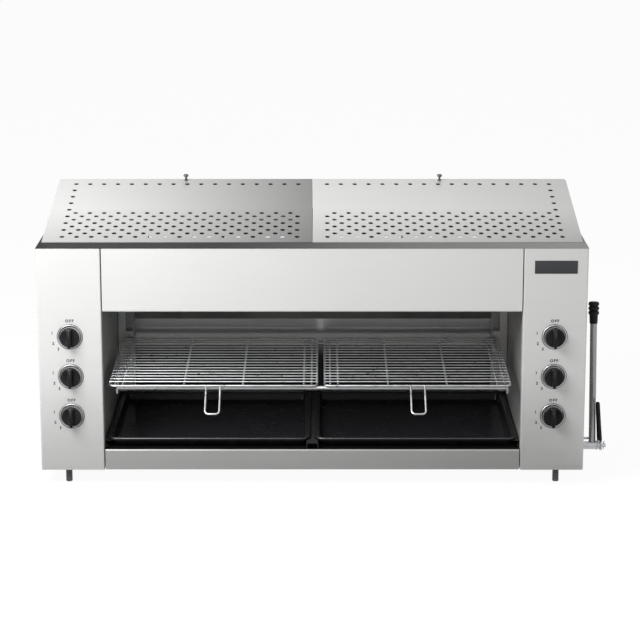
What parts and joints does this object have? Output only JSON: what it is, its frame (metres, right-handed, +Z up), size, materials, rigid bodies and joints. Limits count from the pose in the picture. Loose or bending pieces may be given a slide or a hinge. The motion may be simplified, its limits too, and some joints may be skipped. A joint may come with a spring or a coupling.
{
  "type": "salamander grill",
  "caption": "Open-fronted gas salamander grill with wire racks on a lever lift, drip trays, rotary knobs and sloped perforated flue canopies.",
  "frame": {"origin": "middle of the whole in plan, at the bottom of the feet", "axes": "+X to the grill's right as seen from the front, +Y to the back, +Z up"},
  "size_m": [1.2602, 0.5163, 0.6299],
  "materials": {
    "brushed_casing": "brushed stainless steel",
    "canopy_sheet": "perforated stainless steel",
    "deck_steel": "stainless steel dulled by flue gas",
    "cavity_wall": "stainless steel darkened by heat",
    "polished_liner": "polished stainless steel",
    "dark_sheet": "dark coated steel sheet",
    "burner_ceramic": "porous burner ceramic",
    "gas_pipe": "zinc plated steel pipe",
    "brass_fitting": "machined brass",
    "bright_chrome": "bright chrome plate",
    "badge_grey": "bare dark anodised plate",
    "black_plastic": "satin black heat-resistant plastic",
    "black_enamel": "glossy black vitreous enamel",
    "foot_metal": "dark plated steel"
  },
  "bodies": {
    "root": {"left_column_casing": "brushed_casing", "right_column_casing": "brushed_casing", "front_fascia": "brushed_casing", "bottom_apron": "brushed_casing", "top_deck": "deck_steel", "base_pan": "dark_sheet", "back_panel": "brushed_casing", "left_inner_wall": "cavity_wall", "right_inner_wall": "cavity_wall", "back_liner": "polished_liner", "burner_carrier": "dark_sheet", "burner_housings": "dark_sheet", "burner_plaques": "burner_ceramic", "guide_channels": "cavity_wall", "tray_runners": "dark_sheet", "gas_manifold": "gas_pipe", "gas_inlet": "brass_fitting", "gas_valves": "brass_fitting", "knob_bezels": "bright_chrome", "badge_plate": "badge_grey", "foot_nuts": "bright_chrome", "shaft_bushes": "brass_fitting", "lever_stop": "bright_chrome", "exhaust_baffles": "brushed_casing"},
    "lift_lever": {"cross_shaft": "bright_chrome", "lift_arms": "dark_sheet", "lever_tube": "bright_chrome", "lever_grip": "black_plastic", "shaft_fasteners": "bright_chrome"},
    "catch": {"catch_lever": "black_plastic"},
    "carriage": {"rack_carriage": "bright_chrome", "lift_plates": "dark_sheet"},
    "left_wire_rack": {"left_rack": "bright_chrome", "left_rack_handle": "bright_chrome"},
    "left_tray": {"left_drip_tray": "black_enamel"},
    "left_canopy": {"left_canopy_grille": "canopy_sheet", "left_canopy_frame": "deck_steel", "left_canopy_stud": "foot_metal"},
    "left_valve_spindle_1": {"left_spindle_1": "bright_chrome"},
    "left_control_1": {"left_knob_1": "black_plastic"},
    "left_valve_spindle_2": {"left_spindle_2": "bright_chrome"},
    "left_control_2": {"left_knob_2": "black_plastic"},
    "left_valve_spindle_3": {"left_spindle_3": "bright_chrome"},
    "left_control_3": {"left_knob_3": "black_plastic"},
    "right_wire_rack": {"right_rack": "bright_chrome", "right_rack_handle": "bright_chrome"},
    "right_tray": {"right_drip_tray": "black_enamel"},
    "right_canopy": {"right_canopy_grille": "canopy_sheet", "right_canopy_frame": "deck_steel", "right_canopy_stud": "foot_metal"},
    "right_valve_spindle_1": {"right_spindle_1": "bright_chrome"},
    "right_control_1": {"right_knob_1": "black_plastic"},
    "right_valve_spindle_2": {"right_spindle_2": "bright_chrome"},
    "right_control_2": {"right_knob_2": "black_plastic"},
    "right_valve_spindle_3": {"right_spindle_3": "bright_chrome"},
    "right_control_3": {"right_knob_3": "black_plastic"},
    "front_left_leveller": {"front_left_foot": "foot_metal"},
    "front_right_leveller": {"front_right_foot": "foot_metal"},
    "rear_left_leveller": {"rear_left_foot": "foot_metal"},
    "rear_right_leveller": {"rear_right_foot": "foot_metal"}
  },
  "joints": [
    {"name": "lever_turn", "type": "hinge", "parent": "root", "child": "lift_lever", "pos_m": [-0.03012, -0.11491, 0.066], "axis": [1, 0, 0], "range_deg": [0, 40]},
    {"name": "catch_turn", "type": "hinge", "parent": "lift_lever", "child": "catch", "pos_m": [0.61093, -0.11491, 0.066], "axis": [1, 0, 0], "range_deg": [0, 15], "stiffness_Nm_per_rad": 0.6},
    {"name": "rack_lift", "type": "slide", "parent": "root", "child": "carriage", "axis": [0, 0, 1], "range_m": [0, 0.07715]},
    {"name": "left_rack_pull", "type": "slide", "parent": "carriage", "child": "left_wire_rack", "axis": [0, -0.9991, -0.0419], "range_m": [0, 0.24]},
    {"name": "left_tray_pull", "type": "slide", "parent": "root", "child": "left_tray", "axis": [0, -1, 0], "range_m": [0, 0.34]},
    {"name": "left_canopy_lift", "type": "slide", "parent": "root", "child": "left_canopy", "axis": [0, 0, 1], "range_m": [0, 0.1]},
    {"name": "left_knob_turn_1", "type": "hinge", "parent": "root", "child": "left_valve_spindle_1", "pos_m": [-0.56012, -0.19691, 0.341], "axis": [0, -1, 0], "range_deg": [0, 150]},
    {"name": "left_knob_push_1", "type": "slide", "parent": "left_valve_spindle_1", "child": "left_control_1", "axis": [0, 1, 0], "range_m": [0, 0.004], "stiffness_N_per_m": 500},
    {"name": "left_knob_turn_2", "type": "hinge", "parent": "root", "child": "left_valve_spindle_2", "pos_m": [-0.56012, -0.19691, 0.251], "axis": [0, -1, 0], "range_deg": [0, 150]},
    {"name": "left_knob_push_2", "type": "slide", "parent": "left_valve_spindle_2", "child": "left_control_2", "axis": [0, 1, 0], "range_m": [0, 0.004], "stiffness_N_per_m": 500},
    {"name": "left_knob_turn_3", "type": "hinge", "parent": "root", "child": "left_valve_spindle_3", "pos_m": [-0.56012, -0.19691, 0.161], "axis": [0, -1, 0], "range_deg": [0, 150]},
    {"name": "left_knob_push_3", "type": "slide", "parent": "left_valve_spindle_3", "child": "left_control_3", "axis": [0, 1, 0], "range_m": [0, 0.004], "stiffness_N_per_m": 500},
    {"name": "right_rack_pull", "type": "slide", "parent": "carriage", "child": "right_wire_rack", "axis": [0, -0.9991, -0.0419], "range_m": [0, 0.24]},
    {"name": "right_tray_pull", "type": "slide", "parent": "root", "child": "right_tray", "axis": [0, -1, 0], "range_m": [0, 0.34]},
    {"name": "right_canopy_lift", "type": "slide", "parent": "root", "child": "right_canopy", "axis": [0, 0, 1], "range_m": [0, 0.1]},
    {"name": "right_knob_turn_1", "type": "hinge", "parent": "root", "child": "right_valve_spindle_1", "pos_m": [0.49988, -0.19691, 0.341], "axis": [0, -1, 0], "range_deg": [0, 150]},
    {"name": "right_knob_push_1", "type": "slide", "parent": "right_valve_spindle_1", "child": "right_control_1", "axis": [0, 1, 0], "range_m": [0, 0.004], "stiffness_N_per_m": 500},
    {"name": "right_knob_turn_2", "type": "hinge", "parent": "root", "child": "right_valve_spindle_2", "pos_m": [0.49988, -0.19691, 0.251], "axis": [0, -1, 0], "range_deg": [0, 150]},
    {"name": "right_knob_push_2", "type": "slide", "parent": "right_valve_spindle_2", "child": "right_control_2", "axis": [0, 1, 0], "range_m": [0, 0.004], "stiffness_N_per_m": 500},
    {"name": "right_knob_turn_3", "type": "hinge", "parent": "root", "child": "right_valve_spindle_3", "pos_m": [0.49988, -0.19691, 0.161], "axis": [0, -1, 0], "range_deg": [0, 150]},
    {"name": "right_knob_push_3", "type": "slide", "parent": "right_valve_spindle_3", "child": "right_control_3", "axis": [0, 1, 0], "range_m": [0, 0.004], "stiffness_N_per_m": 500},
    {"name": "front_left_foot_screw", "type": "slide", "parent": "root", "child": "front_left_leveller", "axis": [0, 0, -1], "range_m": [0, 0.012]},
    {"name": "front_right_foot_screw", "type": "slide", "parent": "root", "child": "front_right_leveller", "axis": [0, 0, -1], "range_m": [0, 0.012]},
    {"name": "rear_left_foot_screw", "type": "slide", "parent": "root", "child": "rear_left_leveller", "axis": [0, 0, -1], "range_m": [0, 0.012]},
    {"name": "rear_right_foot_screw", "type": "slide", "parent": "root", "child": "rear_right_leveller", "axis": [0, 0, -1], "range_m": [0, 0.012]}
  ],
  "couplings": [
    {"joint": "rack_lift", "follows": "lever_turn", "m_per_rad": 0.11022}
  ]
}
